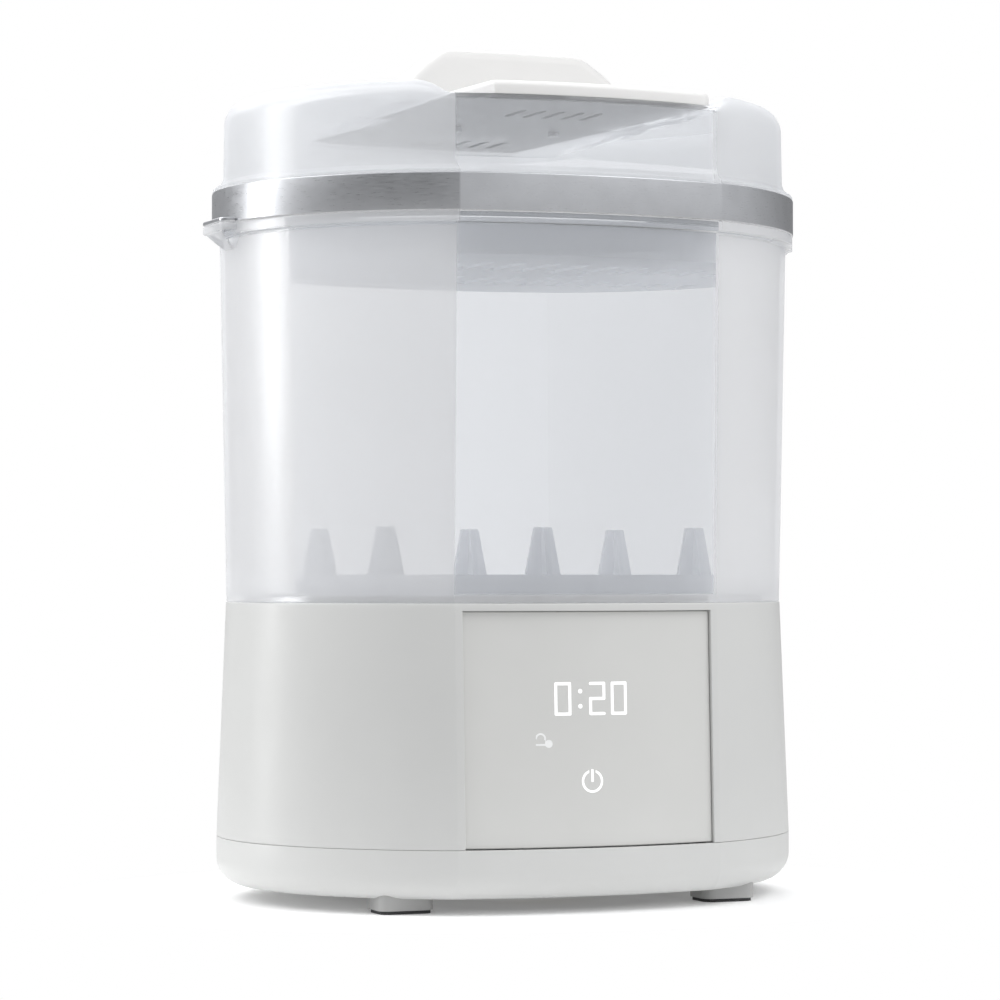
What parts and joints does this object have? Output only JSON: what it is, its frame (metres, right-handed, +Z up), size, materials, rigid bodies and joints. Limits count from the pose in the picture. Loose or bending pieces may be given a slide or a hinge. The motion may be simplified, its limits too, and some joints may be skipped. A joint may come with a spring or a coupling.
{
  "type": "bottle sterilizer",
  "caption": "Electric steam steriliser and dryer for baby bottles: oval base with touch display, see-through chamber, bottle rack, accessory tray and lid with grip.",
  "frame": {"origin": "centre of the footprint, on the table plane under the feet's rubber soles", "axes": "+Z up out of the table, -Y out of the front face with the control panel, +X to the right of someone who looks at the panel"},
  "size_m": [0.28, 0.2162, 0.381],
  "materials": {
    "body_white": "satin",
    "panel_grey": "satin",
    "display_light": "gloss",
    "board": "satin",
    "black_plastic": "matte",
    "blue_plastic": "satin",
    "foam": "matte",
    "ribbon": "satin",
    "stainless": "satin",
    "silicone": "matte",
    "spreader": "satin",
    "element": "matte",
    "thermostat": "satin",
    "fuse_sleeve": "matte",
    "red_wire": "satin",
    "mains_wire": "satin",
    "grey_plastic": "satin",
    "dark_plastic": "satin",
    "heater_fins": "satin",
    "filter_paper": "matte",
    "filter_plastic": "satin",
    "foot_grey": "satin",
    "foot_rubber": "matte",
    "cord_white": "satin",
    "pin_metal": "satin",
    "chamber_clear": "gloss",
    "lid_frosted": "satin",
    "band_grey": "satin"
  },
  "bodies": {
    "base": {"lower_housing": "body_white", "base_shell": "body_white", "front_panel": "panel_grey", "display_digits": "display_light", "mode_symbol": "display_light", "power_symbol": "display_light", "display_board": "board", "led_module": "black_plastic", "touch_foam": "foam", "buzzer": "black_plastic", "ribbon_cable": "ribbon", "power_board": "board", "transformer": "black_plastic", "relay": "blue_plastic", "capacitors": "black_plastic", "heater_dish": "stainless", "dish_gasket": "silicone", "heat_spreader": "spreader", "heating_element": "element", "thermostat": "thermostat", "thermal_fuse": "fuse_sleeve", "heater_bracket": "stainless", "heater_leads": "red_wire", "mains_leads": "mains_wire", "fan_housing": "grey_plastic", "fan_motor": "stainless", "air_heater": "heater_fins", "outlet_gasket": "silicone", "outlet_cap": "body_white", "intake_duct": "grey_plastic", "feet": "foot_grey", "foot_soles": "foot_rubber", "housing_screws": "stainless", "board_screws": "stainless", "deck_screws": "stainless", "power_cord": "cord_white", "strain_relief": "cord_white", "plug": "cord_white", "plug_pins": "pin_metal"},
    "fan": {"fan_shaft": "stainless", "fan_impeller": "dark_plastic"},
    "filter": {"filter_frame": "filter_plastic", "filter_media": "filter_paper", "filter_cover": "body_white"},
    "chamber": {"chamber": "chamber_clear"},
    "rack": {"bottle_rack": "body_white"},
    "tray": {"accessory_tray": "chamber_clear"},
    "lid": {"lid_shell": "lid_frosted", "lid_band": "band_grey", "handle_plate": "body_white", "grip": "body_white", "grip_screws": "stainless"}
  },
  "joints": [
    {"name": "chamber_lift", "type": "slide", "parent": "base", "child": "chamber", "axis": [0, 0, 1], "range_m": [0, 0.09]},
    {"name": "rack_lift", "type": "slide", "parent": "chamber", "child": "rack", "axis": [0, 0, 1], "range_m": [0, 0.09]},
    {"name": "tray_lift", "type": "slide", "parent": "chamber", "child": "tray", "axis": [0, 0, 1], "range_m": [0, 0.09]},
    {"name": "lid_lift", "type": "slide", "parent": "tray", "child": "lid", "axis": [0, 0, 1], "range_m": [0, 0.1]},
    {"name": "fan_spin", "type": "hinge", "parent": "base", "child": "fan", "pos_m": [0.074, 0, 0.078], "axis": [0, 0, 1], "continuous": true},
    {"name": "filter_slide", "type": "slide", "parent": "base", "child": "filter", "axis": [0, 1, 0], "range_m": [0, 0.06]}
  ]
}
